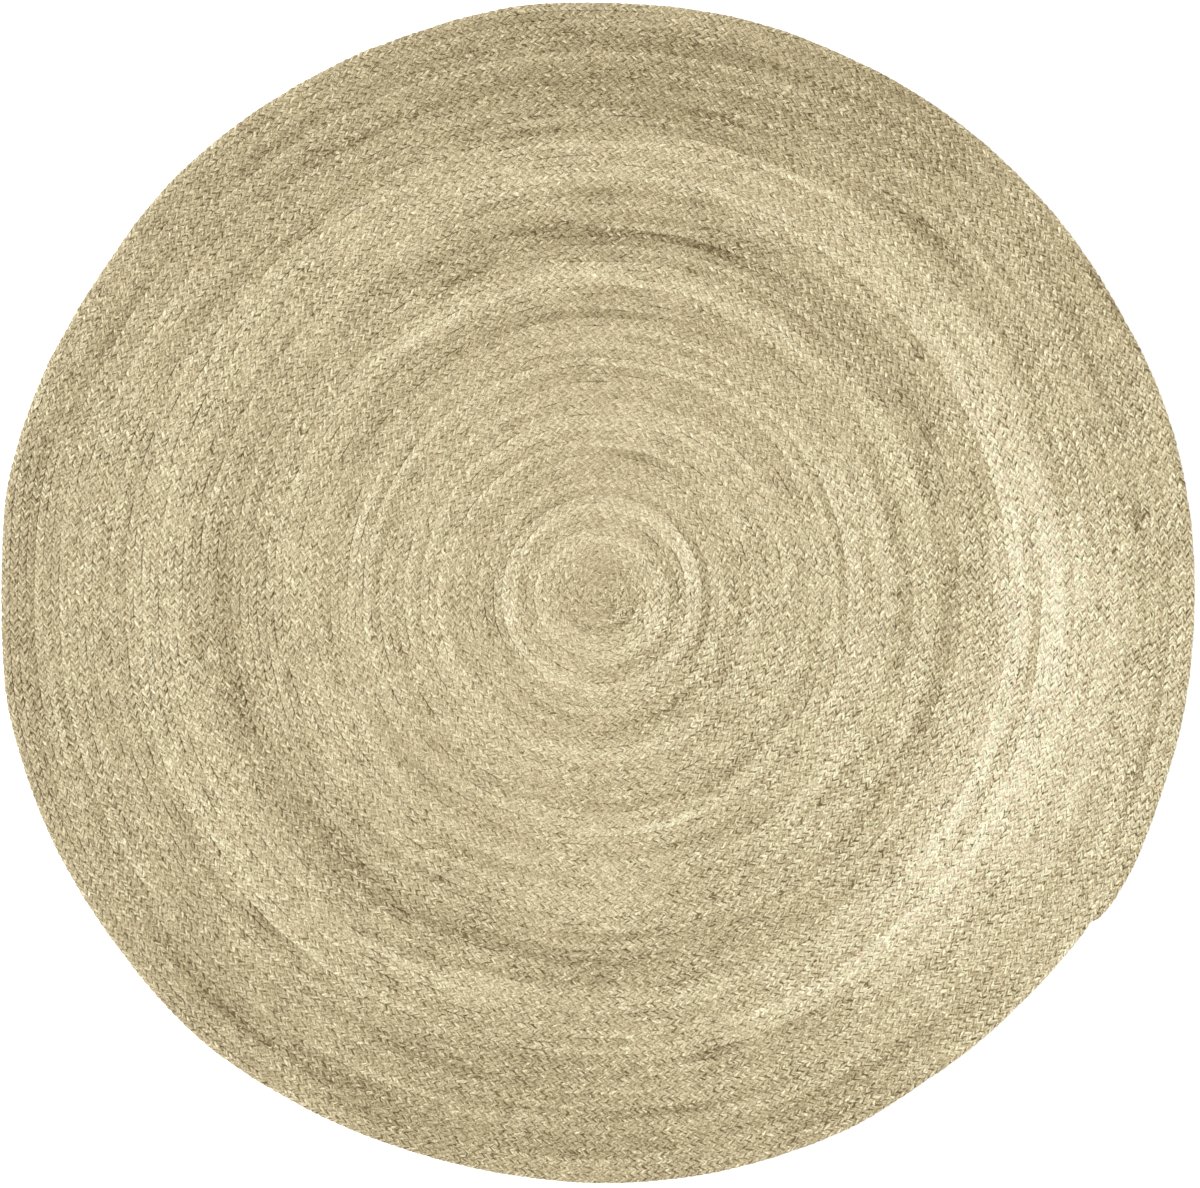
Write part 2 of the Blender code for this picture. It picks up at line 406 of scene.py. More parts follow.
def new_group(name, kind, inputs, outputs):
    """An empty node group with its named sockets."""
    tree = bpy.data.node_groups.new(name, kind)
    for way, sockets in (("INPUT", inputs), ("OUTPUT", outputs)):
        for socket_name, socket_type in sockets:
            tree.interface.new_socket(socket_name, in_out=way, socket_type=socket_type)
    return tree


def modifier_key(tree, name):
    """A group input's identifier, by which a modifier holds its value."""
    return next(item.identifier for item in tree.interface.items_tree if item.name == name)


# -------------------- the coil


def coil_turns():
    """How many turns the seam makes from the core to the tail."""
    width = bpy.context.scene.jute_rug.braid_width
    return (EDGE_RADIUS - CORE_RADIUS) / width


def lie_at(bearing):
    """How far the rim lies out at each bearing, in metres: a smooth curve through LIES."""
    lies = np.array([lie.out_mm for lie in LIES]) / 1000
    place = bearing / math.tau * len(lies)
    row = np.floor(place).astype(int)
    before, here, after, beyond = (lies[(row + i) % len(lies)] for i in (-1, 0, 1, 2))
    t = place - row
    bend = 2 * before - 5 * here + 4 * after - beyond
    twist = 3 * (here - after) + beyond - before
    return here + t * (after - before + t * (bend + t * twist)) / 2


def bulge_at(bearing):
    """How far the outermost turns bulge out at each bearing, from the rows of BULGES, in metres."""
    total = np.zeros_like(bearing)
    for bulge in BULGES:
        off = (np.degrees(bearing) - bulge.bearing_deg + 180) % 360 - 180
        total += bulge.out_mm / 1000 * np.exp(-((off / bulge.span_deg) ** 2))
    return total


def coil_line(side=0.0, bulging=True):
    """The braid's middle line at side 0, its outer seam at side 1, and its share of full width."""
    width = bpy.context.scene.jute_rug.braid_width
    turns = coil_turns()
    tip = turns - TIP_SHARE * TAIL_TURNS
    turn = np.linspace(CURL_TURNS, tip, round((tip - CURL_TURNS) * LINE_STEPS))
    seam = CORE_RADIUS + turn * width
    share = np.minimum(np.minimum(1, seam / width), (turns - turn) / TAIL_TURNS)
    radius = np.maximum(0, seam - width) + share * width / 2 * (1 + side)
    bearing = TAIL_BEARING + (turns - turn) * math.tau
    even = radius / EDGE_RADIUS
    radius = radius + lie_at(bearing) * even**2 + bulging * bulge_at(bearing) * even**BULGE_FADE
    return np.stack([radius * np.cos(bearing), radius * np.sin(bearing)], axis=1), share


def coil_centre():
    """Where the coil's centre lies, so that its rim sits in the middle of the frame's box."""
    rim, _ = coil_line(side=1.0, bulging=False)
    middle = (rim.min(axis=0) + rim.max(axis=0)) / 2
    wanted = [(low + high) / 2 for low, high in zip(RUG_LOW, RUG_HIGH)][:2]
    return np.array(wanted) - middle


def line_object(name, points, radii=None, closed=False):
    """A curve object through points on the floor plane."""
    curve = bpy.data.curves.new(name, "CURVE")
    curve.dimensions = "3D"
    spline = curve.splines.new("POLY")
    spline.points.add(len(points) - 1)
    flat = np.zeros((len(points), 4))
    flat[:, :2] = points
    flat[:, 3] = 1
    spline.points.foreach_set("co", flat.ravel())
    if radii is not None:
        spline.points.foreach_set("radius", radii)
    spline.use_cyclic_u = closed
    obj = bpy.data.objects.new(name, curve)
    bpy.context.scene.collection.objects.link(obj)
    return obj


def section_points():
    """The braid's section as across and rise, both from -1 to 1, round the top and back below."""
    points = [(across, 1) for across in TOP_ACROSS] + [(across, -1) for across in SOLE_ACROSS]
    power = SECTION_SQUARENESS
    return np.array([(x, way * (1 - abs(x) ** power) ** (1 / power)) for x, way in points])


# -------------------- the braid's geometry nodes


# Noise runs along the braid in sections, of which SECTIONS_PER_LOBE make a lobe. These numbers
# keep its columns and its faces apart.
COLUMN_APART = 71.3
FACE_APART = 37.7
SWAY_APART = 51.7
NEAR = 0.01  # a point this near the braid's middle line, or its seams' level, counts as on it

# How unevenly the braid is plaited.
LOBE_SWAY = 2.2  # how many sections the lobes sway along their column
SLANT_SPREAD = 1.2  # how much more one strand slants than the next
SLANT_POWER = 0.85  # under 1, strands bend more towards the seam
ZIGZAG = 0.13  # how far the middle line swings from column to column, against the half width
BREADTH_SPREAD = 0.26
THIN_SHARE = 0.05  # how much narrower the braid is where it is thin
CORE_SPREAD = 0.14  # how much broader it is in the first turns, which lie the closest
RIM_BULGE = 2.6  # how much more the lobes stand out on the outermost turn
THIN_HEIGHT = 0.6  # the height of the tapered ends' tips, against the full height


def lobe_phase(graph, section, right):
    """Counts lobes along a column of the braid. The columns are half a lobe apart, and not evenly."""
    sway = graph.noise("1D", section / 6 + right * SWAY_APART, detail=1.0) - 0.5
    return (section + right * (SECTIONS_PER_LOBE / 2) + sway * LOBE_SWAY) / SECTIONS_PER_LOBE


BRAID_INPUTS = (
    ("Coil", "NodeSocketGeometry"),
    ("Section", "NodeSocketObject"),
    ("First Section", "NodeSocketInt"),
    ("Sections", "NodeSocketInt"),
    ("Section Length", "NodeSocketFloat"),
    ("Half Width", "NodeSocketFloat"),
    ("Height", "NodeSocketFloat"),
    ("Chevron", "NodeSocketFloat"),
    ("Crease Depth", "NodeSocketFloat"),
    ("Groove Depth", "NodeSocketFloat"),
    ("Side Bulge", "NodeSocketFloat"),
    ("Unevenness", "NodeSocketFloat"),
    ("Slip", "NodeSocketFloat"),
    ("Wander", "NodeSocketFloat"),
    ("Seed", "NodeSocketInt"),
    ("Jute", "NodeSocketMaterial"),
)


def store(graph, geometry, name, value, data_type="FLOAT"):
    values = {"Geometry": geometry, "Name": name, "Value": value}
    return graph.add("GeometryNodeStoreNamedAttribute", values, data_type=data_type)


def stored(graph, name):
    return graph.add("GeometryNodeInputNamedAttribute", {"Name": name}, data_type="FLOAT")


def plain_tube(graph, given):
    """A straight tube with the braid's section, which remembers where each point belongs."""
    line = graph.add("GeometryNodeMeshLine", {"Count": given["Sections"] + 1, "Offset": (1, 0, 0)})
    line = graph.add("GeometryNodeMeshToCurve", {"Mesh": line})
    index = graph.add("GeometryNodeInputIndex", {})
    line = store(graph, line, "section", index + given["First Section"])
    held = {"Object": given["Section"], "As Instance": False}
    profile = graph.add("GeometryNodeObjectInfo", held, output=4)
    across, rise, _ = graph.parts(graph.add("GeometryNodeInputPosition", {}))
    profile = store(graph, profile, "across", across)
    profile = store(graph, profile, "rise", rise)
    values = {"Curve": line, "Profile Curve": profile, "Fill Caps": True}
    return graph.add("GeometryNodeCurveToMesh", values)


def on_coil(graph, coil, length, output):
    """The coil at a length: its radius, its place or its direction, for output 0, 1 or 2."""
    radius = graph.add("GeometryNodeInputRadius", {})
    values = {"Curves": coil, "Value": radius, "Length": length}
    return graph.add("GeometryNodeSampleCurve", values, output=output, mode="LENGTH")


Spot = namedtuple("Spot", "section across rise face right reach in_middle column share")


def spot_fields(graph, given):
    """Where each point belongs in the plait, and the braid's share of its full width there."""
    section, across, rise = (stored(graph, name) for name in ("section", "across", "rise"))
    face = (rise > -NEAR) * 2 - 1
    right = across > 0
    reach = abs(across)
    column = right * COLUMN_APART + face * FACE_APART
    share = on_coil(graph, given["Coil"], section * given["Section Length"], 0)
    return Spot(section, across, rise, face, right, reach, reach < NEAR, column, share)


def length_along(graph, given, spot):
    """Strands slant from the middle to the seam, forwards on top and backwards below."""
    spread = (graph.noise("1D", spot.section / 5 + spot.column) - 0.5) * SLANT_SPREAD
    lean = (spot.right * -2 + 1) * COLUMN_LEAN + spread + 1
    slant = spot.face * given["Chevron"] * spot.share * lean * (1 - spot.reach) ** SLANT_POWER
    drift = graph.noise("1D", spot.section / 23) - 0.5
    column_drift = graph.noise("1D", spot.section / 3.3 + spot.column, detail=1.0) - 0.5
    slip = (drift * 2 + column_drift * spot.reach) * given["Slip"] * 2
    return spot.section * given["Section Length"] - slant + slip


def distance_aside(graph, given, spot, place, relief, turn_taken):
    """Lobes bulge past the creases at the seams, and the columns take turns over the middle."""
    from_centre = graph.vector_maths("LENGTH", place)
    zigzag = spot.in_middle * turn_taken * -ZIGZAG
    breadth = (graph.noise("1D", spot.section / 14, detail=2.0) - 0.5) * BREADTH_SPREAD + 1
    breadth = breadth - graph.ramp(graph.noise("1D", spot.section / 61), 0.54, 0.68) * THIN_SHARE
    breadth = breadth + graph.ramp(from_centre, 0.025, 0.06, CORE_SPREAD, 0)
    sideways = (spot.across + zigzag) * given["Half Width"] * breadth * spot.share
    pinch = (1 - relief) * spot.reach**3 * graph.maths("SIGN", spot.across)
    pinch = pinch * graph.ramp(from_centre, 0.735, 0.75, 1, RIM_BULGE)
    sideways = sideways - pinch * given["Side Bulge"]

    # The turns stray together, though not at the centre or the rim.
    calm = graph.ramp(from_centre, 0.60, 0.74, 1, 0) * graph.ramp(from_centre, 0.03, 0.12)
    stray = graph.noise("2D", place, scale=9.0, detail=2.0) - 0.5
    sway = graph.noise("1D", spot.section / 19 + 7, detail=1.0) - 0.5
    return sideways + (stray * 2 + sway) * calm * given["Wander"]


def height_above(graph, given, spot, relief, turn_taken, uneven):
    """Creases cut in from both faces, less at the seams, and a shallow groove in the middle."""
    grain_place = graph.vector(spot.section * 0.8, spot.across * 2.1, spot.column)
    grain = graph.noise("3D", grain_place) - 0.5
    bite = (1 - relief) * given["Crease Depth"] * graph.ramp(spot.reach, 1, 0.6, 0.8, 1)
    lift = (uneven * relief + grain * 3) * given["Unevenness"] * (spot.rise > NEAR)
    groove = (turn_taken * turn_taken * -0.4 + 1) * given["Groove Depth"]
    dent = (bite - lift) * (1 - spot.in_middle) + groove * spot.in_middle
    height = given["Height"] * (spot.share * (1 - THIN_HEIGHT) + THIN_HEIGHT)
    return (spot.rise + 1) * height / 2 - spot.face * dent * abs(spot.rise)


def plait_tree():
    """The nodes that plait one stretch of the coil. Their input is the coil's own line."""
    outputs = [("Braid", "NodeSocketGeometry")]
    tree = new_group("Plaited braid", "GeometryNodeTree", BRAID_INPUTS, outputs)
    tree.is_modifier = True
    graph = Graph(tree)
    given = graph.inputs()
    tube = plain_tube(graph, given)
    spot = spot_fields(graph, given)

    # Each column of lobes runs from crease to crease.
    phase = lobe_phase(graph, spot.section, spot.right)
    lobe = graph.maths("FLOOR", phase)
    relief = graph.curve(phase - lobe, LOBE_CURVE)
    number = lobe * 4 + spot.right * 2 + spot.face
    chance = {"Min": -1.0, "Max": 1.0, "ID": number, "Seed": given["Seed"]}
    uneven = graph.add("FunctionNodeRandomValue", chance, data_type="FLOAT")
    turn_taken = graph.maths("COSINE", spot.section * (math.tau / SECTIONS_PER_LOBE))

    # The tube is laid on the coil.
    along = length_along(graph, given, spot)
    place = on_coil(graph, given["Coil"], along, 1)
    tangent = on_coil(graph, given["Coil"], along, 2)
    outward = graph.vector_maths("CROSS_PRODUCT", (0, 0, 1), tangent)
    outward = graph.vector_maths("NORMALIZE", outward)
    aside = distance_aside(graph, given, spot, place, relief, turn_taken)
    up = height_above(graph, given, spot, relief, turn_taken, uneven)
    moved = graph.vector_maths("SCALE", outward, aside)
    moved = graph.vector_maths("ADD", place, moved)
    moved = graph.vector_maths("ADD", moved, graph.vector(0, 0, up))
    braid = graph.add("GeometryNodeSetPosition", {"Geometry": tube, "Position": moved})
    plait = graph.vector(spot.section, spot.across, spot.rise)
    braid = store(graph, braid, "plait", plait, "FLOAT_VECTOR")
    for name in ("section", "across", "rise"):
        braid = graph.add("GeometryNodeRemoveAttribute", {"Geometry": braid, "Name": name})
    braid = graph.add("GeometryNodeSetShadeSmooth", {"Geometry": braid})
    braid = graph.add("GeometryNodeRealizeInstances", {"Geometry": braid})
    values = {"Geometry": braid, "Material": given["Jute"]}
    graph.outputs({"Braid": graph.add("GeometryNodeSetMaterial", values)})
    return tree


# -------------------- what the braid's mesh carries


# How plainly lobes and fibres show, by the distance from the coil's centre in millimetres.
COARSE_BY_RADIUS = ((30, 0.53), (120, 0.70), (370, 0.78), (430, 0.92))
CRISP_BY_RADIUS = ((30, 0.84), (370, 0.89), (430, 0.93))
# Painted light: on these bearings the lobes' painted shade and glints and the fibres show more, standing in
# for the key light and the fibres' sheen.
PLAIN_SIDE = 325  # the bearing on which they show the most
PLAIN_ENDS = 165  # and they show more at both ends of a line on this bearing

# The map laid out for baking.
MAP_FLATNESS = 0.45  # the section's height against its width, as the map's rows count it
SOLE_SHARE = 0.5  # the underside needs less room
ROW_SHAPE = 7.7  # the sections of one row against the number of rows
ROW_GAP = 0.03
END_GAP = 0.001


def paint_tone(mesh, centre):
    """Stores how pale the yarn is at each point, with the painted sheen, from RINGS and PATCHES, and how
    coarse and crisp.
    """
    points = np.empty(len(mesh.vertices) * 3, np.float32)
    mesh.vertices.foreach_get("co", points)
    around = len(TOP_ACROSS) + len(SOLE_ACROSS)
    middle = points.reshape(-1, around, 3).mean(axis=1)[:, :2] - centre
    x, y = np.repeat(middle, around, axis=0).T
    radius = np.hypot(x, y) * 1000
    bearing = np.degrees(np.arctan2(y, x))
    tone = np.zeros(len(x))
    for ring in RINGS:
        tone += ring.tone * np.exp(-(((radius - ring.radius_mm) / ring.width_mm) ** 2))
    for patch in PATCHES:
        off = (bearing - patch.bearing_deg + 180) % 360 - 180
        near = ((radius - patch.radius_mm) / patch.width_mm) ** 2 + (off / patch.span_deg) ** 2
        tone += patch.tone * np.exp(-near)
    # Painted light: stronger lobe shade, glints and fibres on one side and at both ends of a line, standing
    # in for the key light and the fibres' sheen.
    side = 0.11 * np.cos(np.radians(bearing - PLAIN_SIDE))
    ends = 0.165 * np.cos(np.radians(bearing - PLAIN_ENDS) * 2)
    coarse = np.interp(radius, *zip(*COARSE_BY_RADIUS)) + side * 1.5 + ends
    crisp = np.interp(radius, *zip(*CRISP_BY_RADIUS)) + side + ends * 0.6
    for name, values in (("tone", tone), ("coarse", coarse), ("crisp", crisp)):
        layer = mesh.attributes.new(name, "FLOAT", "POINT")
        layer.data.foreach_set("value", values.astype(np.float32))


def lay_out_map(mesh, sections):
    """A map of the braid for baking: the tube cut into equal stretches, laid in rows."""
    around = len(TOP_ACROSS) + len(SOLE_ACROSS)
    outline = section_points() * (1, MAP_FLATNESS)
    steps = np.hypot(*(np.roll(outline, -1, axis=0) - outline).T)
    steps[len(TOP_ACROSS) - 1 :] *= SOLE_SHARE
    rim = np.concatenate([[0], np.cumsum(steps)]) / steps.sum()
    rows = round(math.sqrt(sections / ROW_SHAPE))
    row_sections = math.ceil(sections / rows)
    corner = np.empty(len(mesh.loops), np.int32)
    mesh.loops.foreach_get("vertex_index", corner)
    starts = np.empty(len(mesh.polygons), np.int32)
    totals = np.empty(len(mesh.polygons), np.int32)
    mesh.polygons.foreach_get("loop_start", starts)
    mesh.polygons.foreach_get("loop_total", totals)
    face = np.repeat(np.arange(len(totals)), totals)
    along, point = corner // around, corner % around
    first = np.minimum.reduceat(along, starts)[face]
    spread = np.maximum.reduceat(point, starts) - np.minimum.reduceat(point, starts)
    wraps = spread[face] > 1
    place = rim[np.where(wraps & (point == 0), around, point)]
    row = np.minimum(first, sections - 1) // row_sections
    u = END_GAP + (1 - 2 * END_GAP) * (along - row * row_sections) / row_sections
    v = (row + ROW_GAP + (1 - 2 * ROW_GAP) * place) / rows
    layer = mesh.uv_layers.new(name="OFBake")
    layer.data.foreach_set("uv", np.stack([u, v], axis=1).astype(np.float32).ravel())


# -------------------- finishes


def linear(*srgb):
    """An sRGB colour of 0 to 255 as Blender's linear colour."""
    parts = [value / 255 for value in srgb]
    return [c / 12.92 if c < 0.04045 else ((c + 0.055) / 1.055) ** 2.4 for c in parts] + [1]


def straw_group():
    """Jute's colour by its brightness."""
    inputs = [("Tone", "NodeSocketFloat")]
    outputs = [("Colour", "NodeSocketColor")]
    tree = new_group("Straw colours", "ShaderNodeTree", inputs, outputs)
    graph = Graph(tree)
    given = graph.inputs()
    node = tree.nodes.new("ShaderNodeValToRGB")
    stops = node.color_ramp.elements
    while len(stops) < len(SHADES):
        stops.new(0.5)
    for stop, shade in zip(stops, SHADES):
        stop.position = shade.tone
        stop.color = linear(shade.red, shade.green, shade.blue)
    graph.feed(node.inputs["Fac"], given["Tone"])
    graph.outputs({"Colour": Field(graph, node.outputs["Color"])})
    return tree


# How much each thing adds to the jute's tone or takes from it.
PAINT_SHARE = 1.16
BRAID_SHARE = 0.14
STRAND_SHARE = 0.10
STREAK_SHARE = 0.16
OWN_SHARE = 0.08
YARN_SHARE = 0.13
FIBRE_SHARE = 0.80
HAIR_SHARE = 0.60
SPECK_SHARE = 0.22
CLEFT_SHADE_SHARE = 0.09
STALK_SHARE = 0.35

# The grain of yarns, fibres and hairs: how fast each changes along and across the braid.
Grain = namedtuple("Grain", "along across apart detail")
GRAINS = (Grain(0.8, 1.7, 5.3, 1.0), Grain(1.5, 3.1, 3.7, 2.0), Grain(2.7, 5.6, 1.9, 2.0))

Jute = namedtuple("Jute", "section across right turn number luck own crown yarn fibre hair painted")


def jute_fields(graph):
    """Which lobe and which yarn each point lies on, their chances, the grain and the painted tone."""
    section, across, _ = graph.parts(graph.attribute("plait", output=1))
    right = across > 0
    phase = lobe_phase(graph, section, right)
    lobe = graph.maths("FLOOR", phase)
    turn = phase - lobe
    number = lobe * 2 + (1 - right)

    # Two yarns lie side by side in each lobe, from the braid's middle to its seam.
    half = turn * 2
    yarn_number = number * 2 + graph.maths("FLOOR", half)
    own = graph.dice(yarn_number + 0.3) - 0.5
    crown = 1 - (abs(half % 1 - 0.5) * 2) ** 3
    grains = []
    for grain in GRAINS:
        place = graph.vector(section * grain.along, across * grain.across, number * grain.apart)
        grains.append(graph.noise("3D", place, detail=grain.detail) - 0.5)
    luck = graph.dice(number + 0.5)
    painted = graph.attribute("tone")
    return Jute(section, across, right, turn, number, luck, own, crown, *grains, painted)


def broad_tone(graph, jute):
    """The tone of the braid's stretches and strands, before its lobes and fibres."""
    strand_place = graph.vector(jute.section / 140, jute.number % 3 * 9.1, 0)
    strand_tone = graph.noise("2D", strand_place, detail=1.0) - 0.5
    braid_tone = graph.noise("1D", jute.section / 700, detail=3.0) - 0.5
    streak = graph.noise("1D", jute.section / 90 + 50, detail=2.0) - 0.5
    tone = jute.painted * PAINT_SHARE + MEAN_TONE
    return tone + braid_tone * BRAID_SHARE + strand_tone * STRAND_SHARE + streak * STREAK_SHARE


def lobe_tone(graph, jute):
    """Pale crowns of yarn and painted glints, less painted shade in the gaps between lobes and yarns."""
    near_gap = graph.maths("MINIMUM", jute.turn, 1 - jute.turn)
    # Painted shade towards the lobes' ends, where they meet the next lobes, and in the cleft between a
    # lobe's two yarns.
    gap_shade = graph.ramp(near_gap, 0.0, 0.24, 1, 0, "SMOOTHSTEP") * (1.16 - jute.right * 0.24)
    cleft_shade = graph.ramp(abs(jute.turn - 0.5 + jute.own * 0.1), 0.0, 0.1, 1, 0)

    # Painted shade in the corners where lobes meet, and a painted glint on some yarns.
    end = abs(abs(jute.across) - 0.45)
    corner = graph.ramp(end, 0.15, 0.42, 0.9, 1.3)
    lit = graph.ramp(jute.own + jute.fibre, 0.12, 0.45)
    glint = jute.crown * graph.ramp(end, 0.05, 0.42, 1, 0) * lit

    # Dark yarn gets stronger painted glints and gap shade, and a gap's shade is broken where fibres cross
    # it.
    shine = graph.ramp(jute.painted, -0.14, -0.07, 0.36, 0.17)
    shade_depth = graph.ramp(jute.painted, -0.14, 0.12, 0.47, 0.34)
    broken = graph.ramp(jute.yarn, -0.15, 0.15, 1.25, 0.5)
    chance = graph.dice(jute.number) - 0.5
    # The yarns' own tone and the painted glints, less the painted shade of gaps and clefts.
    pale = jute.own * jute.crown * OWN_SHARE + jute.yarn * YARN_SHARE + glint * shine
    painted_shade = gap_shade * (chance * 0.7 + 0.66) * corner * shade_depth + cleft_shade * (jute.luck + 0.2) * CLEFT_SHADE_SHARE
    return pale - painted_shade * broken


def dark_marks(graph, jute, crisp, from_centre):
    """Dark flecks, mostly in dark yarn, a rare bit of stalk in a lobe, and painted shade in the seams."""
    fleck_place = graph.vector(jute.section / 3, jute.across * 1.4, 0)
    fleck = graph.noise("2D", fleck_place, detail=1.0)
    fleck = graph.ramp(fleck - graph.ramp(jute.painted, -0.18, -0.03, -0.12, 0), 0.73, 0.77)
    fleck = fleck * crisp * graph.ramp(jute.painted, -0.13, 0.0, 0.66, 0.54)
    stalk = graph.ramp(abs(jute.turn - 0.55), 0.12, 0.3, 1, 0) * (jute.luck > 0.997)

    # Painted shade in the seams between the turns, here and there, and most near the centre.
    inner = graph.ramp(from_centre, 0.05, 0.17, 0.13, 0)
    here = graph.ramp(graph.noise("1D", jute.section / 13 + 90, detail=1.0), 0.52, 0.64, 0, 0.12)
    seam = graph.ramp(abs(jute.across), 0.6, 0.85) * graph.ramp(jute.yarn, -0.1, 0.2, 1, 0.3)
    return fleck + stalk * STALK_SHARE + seam * (inner + here)


def jute_tone(graph, jute):
    """How pale the jute is at each point, with its painted shade, glints and sheen."""
    coarse = graph.attribute("coarse")
    crisp = graph.attribute("crisp")
    speck = graph.ramp(jute.fibre, -0.15, -0.35)
    grainy = jute.fibre * FIBRE_SHARE + jute.hair * HAIR_SHARE - speck * SPECK_SHARE

    # The lobes show clearly in some places and hardly at all in others.
    place = graph.add("ShaderNodeTexCoord", {}, output=3)
    clear = graph.ramp(graph.noise("3D", place, scale=17.0, detail=1.0), 0.35, 0.62, 0.68, 1.14)
    lobed = lobe_tone(graph, jute) * clear
    marks = dark_marks(graph, jute, crisp, graph.vector_maths("LENGTH", place))
    # coarse and crisp also carry the painted light that changes with bearing.
    return broad_tone(graph, jute) + grainy * crisp + (lobed - marks) * coarse


def pale_tint(graph, jute):
    """The palest yarn leans to green or to pink from one spot to the next."""
    spot_place = graph.vector(jute.section / 3, jute.across * 0.8, 0)
    spot = graph.noise("2D", spot_place, detail=1.0) - 0.53
    pale = graph.ramp(jute.painted, 0.03, 0.12)
    lean = spot * pale * 0.14
    return graph.vector(1 - lean, lean + 1, pale * 0.04 + 1)


def braid_material(straw):
    material = bpy.data.materials.new("Jute braid")
    material.use_nodes = True
    tree = material.node_tree
    surface = tree.nodes["Principled BSDF"]
    graph = Graph(tree)
    jute = jute_fields(graph)
    group = tree.nodes.new("ShaderNodeGroup")
    group.node_tree = straw
    graph.feed(group.inputs["Tone"], jute_tone(graph, jute))
    colour = Field(graph, group.outputs["Colour"])
    colour = graph.vector_maths("MULTIPLY", colour, pale_tint(graph, jute))
    graph.feed(surface.inputs["Base Color"], colour)
    graph.feed(surface.inputs["Roughness"], graph.ramp(jute.fibre, -0.3, 0.3, 0.72, 0.48))
    height = jute.crown * 0.5 + jute.yarn * 1.4 + jute.fibre * 1.5 + jute.hair
    values = {"Height": height, "Strength": 0.8, "Distance": 0.0014}
    graph.feed(surface.inputs["Normal"], graph.add("ShaderNodeBump", values))
    surface.inputs["Specular IOR Level"].default_value = 0.4
    surface.inputs["Sheen Weight"].default_value = 0.1
    surface.inputs["Sheen Roughness"].default_value = 0.5
    return material


# -------------------- making the pieces


def plait_settings(sizes, section_object, material):
    """The values that every length of braid shares, by the names of the tree's inputs."""
    return {
        "Section": section_object,
        "Section Length": sizes.lobe_length / SECTIONS_PER_LOBE,
        "Half Width": sizes.braid_width * SEAM_OVERLAP / 2,
        "Height": RUG_HIGH[2] - RUG_LOW[2],
        "Chevron": sizes.chevron,
        "Crease Depth": sizes.crease_depth,
        "Groove Depth": sizes.groove_depth,
        "Side Bulge": sizes.side_bulge,
        "Unevenness": sizes.unevenness,
        "Slip": sizes.slip,
        "Wander": sizes.wander,
        "Seed": sizes.seed,
        "Jute": material,
    }


def curve_length(points):
    return float(np.hypot(*np.diff(points, axis=0).T).sum())


def make_braid():
    """Plaits the coil length by length, and hangs each length on the root body."""
    sizes = bpy.context.scene.jute_rug
    centre = coil_centre()
    line, share = coil_line()
    coil = line_object("coil", line + centre, radii=share)
    section_object = line_object("braid section", section_points(), closed=True)
    tree = plait_tree()
    settings = plait_settings(sizes, section_object, braid_material(straw_group()))
    step = settings["Section Length"]
    sections = math.floor(curve_length(line) / step / sizes.lengths)
    made = []
    for number in range(sizes.lengths):
        modifier = coil.modifiers.new("Plait", "NODES")
        modifier.node_group = tree
        own = {"First Section": number * sections, "Sections": sections}
        for name, value in {**settings, **own}.items():
            modifier[modifier_key(tree, name)] = value
        coil.update_tag()
        graph = bpy.context.evaluated_depsgraph_get()
        mesh = bpy.data.meshes.new_from_object(coil.evaluated_get(graph))
        mesh.name = f"braid length {number + 1}"
        coil.modifiers.remove(modifier)
        mesh.set_sharp_from_angle(angle=CREASE_ANGLE)
        paint_tone(mesh, centre)
        lay_out_map(mesh, sections)
        piece = bpy.data.objects.new(f"braid_length_{number + 1}", mesh)
        bpy.context.scene.collection.objects.link(piece)
        made.append(piece)
    bpy.data.objects.remove(coil)
    bpy.data.objects.remove(section_object)
    for piece in made:
        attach(piece, "root")
        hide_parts("rug")
        sizes.braid_width * SEAM_OVERLAP
        sections * step
    return made


def make_floor(colour, glow):
    material = bpy.data.materials.new("Studio floor")
    material.use_nodes = True
    surface = material.node_tree.nodes["Principled BSDF"]
    surface.inputs["Base Color"].default_value = (*colour, 1)
    surface.inputs["Roughness"].default_value = 0.9
    surface.inputs["Emission Color"].default_value = (1, 1, 1, 1)
    surface.inputs["Emission Strength"].default_value = glow
    surface.inputs["Specular IOR Level"].default_value = 0.1
    mesh = bpy.data.meshes.new("studio floor")
    half = FLOOR_HALF
    corners = [(-half, -half, 0), (half, -half, 0), (half, half, 0), (-half, half, 0)]
    mesh.from_pydata(corners, [], [(0, 1, 2, 3)])
    mesh.materials.append(material)
    floor = bpy.data.objects.new("studio_floor", mesh)
    bpy.context.scene.collection.objects.link(floor)


def make_lights(key_strength, sky_strength):
    light = bpy.data.lights.new("Key light", "SUN")
    light.angle = KEY_SOFTNESS
    light.energy = key_strength
    key = bpy.data.objects.new("Key light", light)
    key.location = KEY_PLACE
    aim = -key.location
    key.rotation_euler = aim.to_track_quat("-Z", "Y").to_euler()
    bpy.context.scene.collection.objects.link(key)
    world = bpy.data.worlds.new("Studio")
    world.use_nodes = True
    background = world.node_tree.nodes["Background"]
    background.inputs["Color"].default_value = (1, 1, 1, 1)
    background.inputs["Strength"].default_value = sky_strength
    bpy.context.scene.world = world


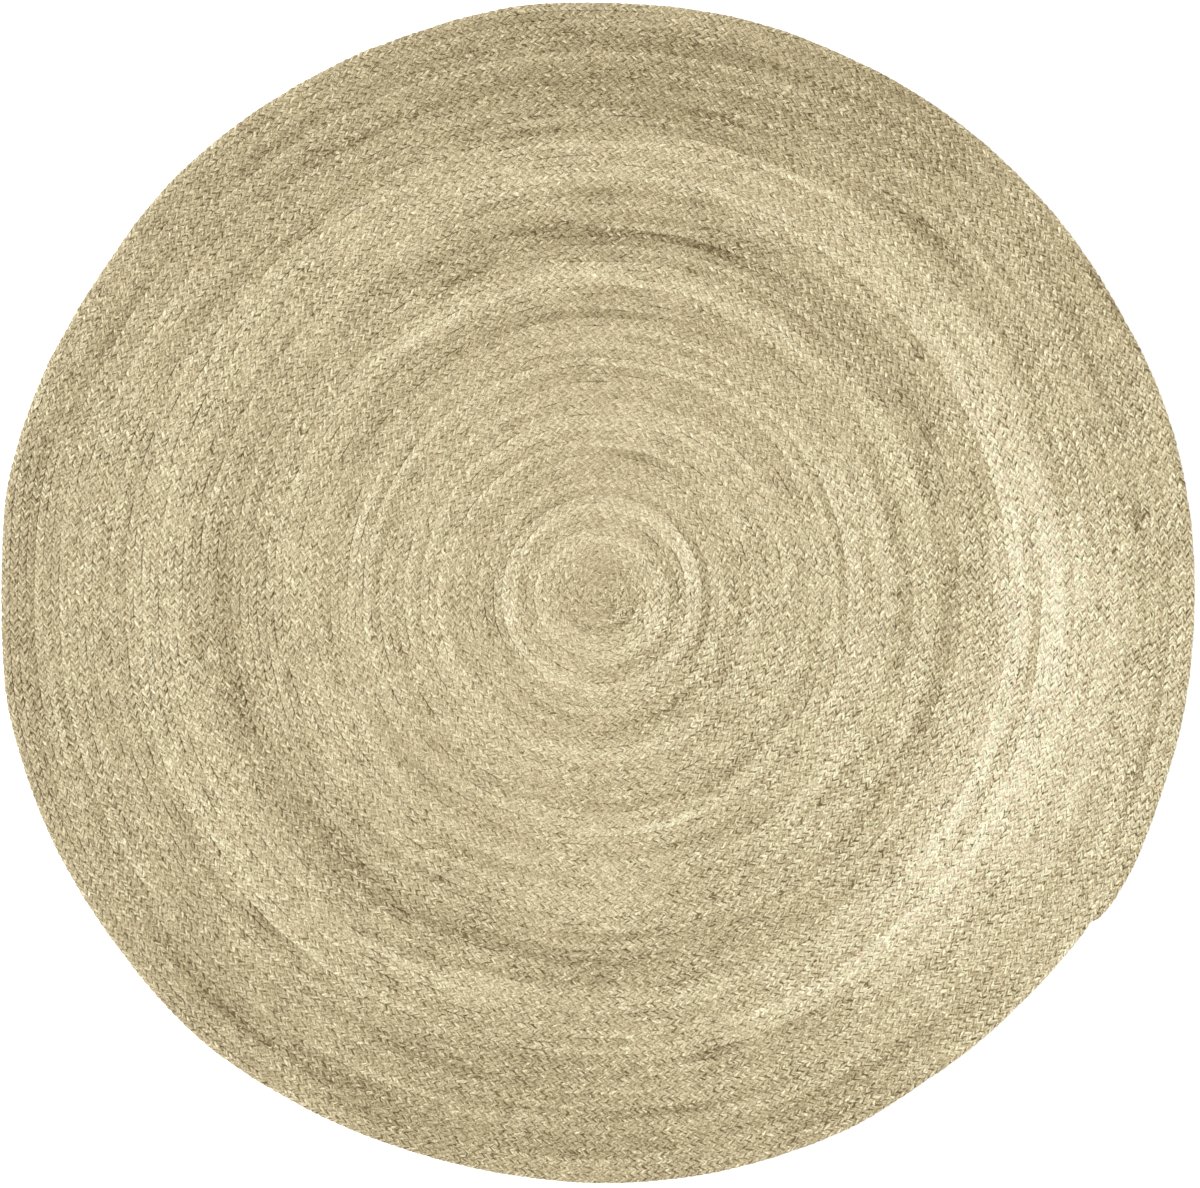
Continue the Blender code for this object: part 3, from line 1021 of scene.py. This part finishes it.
def make_camera():
    """A camera straight above the rug, with the rug filling its view."""
    scene = bpy.context.scene
    camera = bpy.data.cameras.new("Camera")
    camera.lens = LENS_MM
    width = (RUG_HIGH[0] - RUG_LOW[0]) * FRAME_MARGIN
    rise = width * camera.lens / camera.sensor_width
    held = bpy.data.objects.new("Camera", camera)
    middle = [(RUG_LOW[i] + RUG_HIGH[i]) / 2 + FRAME_SHIFT[i] for i in (0, 1)]
    held.location = (*middle, RUG_HIGH[2] + rise)
    scene.collection.objects.link(held)
    scene.camera = held


# -------------------- operators and panel


class JUTERUG_OT_braid(bpy.types.Operator):
    """Plait the rug's coil in its lengths of braid"""

    bl_idname = "jute_rug.make_braid"
    bl_label = "Braid"

    def execute(self, context):
        make_braid()
        return {"FINISHED"}


class JUTERUG_OT_studio(bpy.types.Operator):
    """Set a pale floor, soft light and a camera round the rug"""

    bl_idname = "jute_rug.make_studio"
    bl_label = "Studio"

    def execute(self, context):
        studio = context.scene.jute_rug_studio
        make_floor(studio.floor_colour, studio.floor_glow)
        make_lights(studio.key_strength, studio.sky_strength)
        make_camera()
        context.scene.view_settings.view_transform = "Standard"
        return {"FINISHED"}


class JUTERUG_PT_sidebar(bpy.types.Panel):
    bl_idname = "JUTERUG_PT_sidebar"
    bl_label = "Jute Rug"
    bl_space_type = "VIEW_3D"
    bl_region_type = "UI"
    bl_category = "Jute Rug"

    def draw(self, context):
        for title, group, operator in (
            ("Braid", context.scene.jute_rug, JUTERUG_OT_braid),
            ("Studio", context.scene.jute_rug_studio, JUTERUG_OT_studio),
        ):
            box = self.layout.box()
            box.label(text=title)
            for name in group.__annotations__:
                box.prop(group, name)
            box.operator(operator.bl_idname)


CLASSES = (JuteRugSizes, JuteRugStudio, JUTERUG_OT_braid, JUTERUG_OT_studio, JUTERUG_PT_sidebar)


def register():
    for cls in CLASSES:
        bpy.utils.register_class(cls)
    bpy.types.Scene.jute_rug = PointerProperty(type=JuteRugSizes)
    bpy.types.Scene.jute_rug_studio = PointerProperty(type=JuteRugStudio)


def unregister():
    del bpy.types.Scene.jute_rug_studio
    del bpy.types.Scene.jute_rug
    for cls in reversed(CLASSES):
        bpy.utils.unregister_class(cls)


def main():
    register()
    bpy.ops.jute_rug.make_studio()
    bpy.ops.jute_rug.make_braid()


if __name__ == "__main__":
    main()
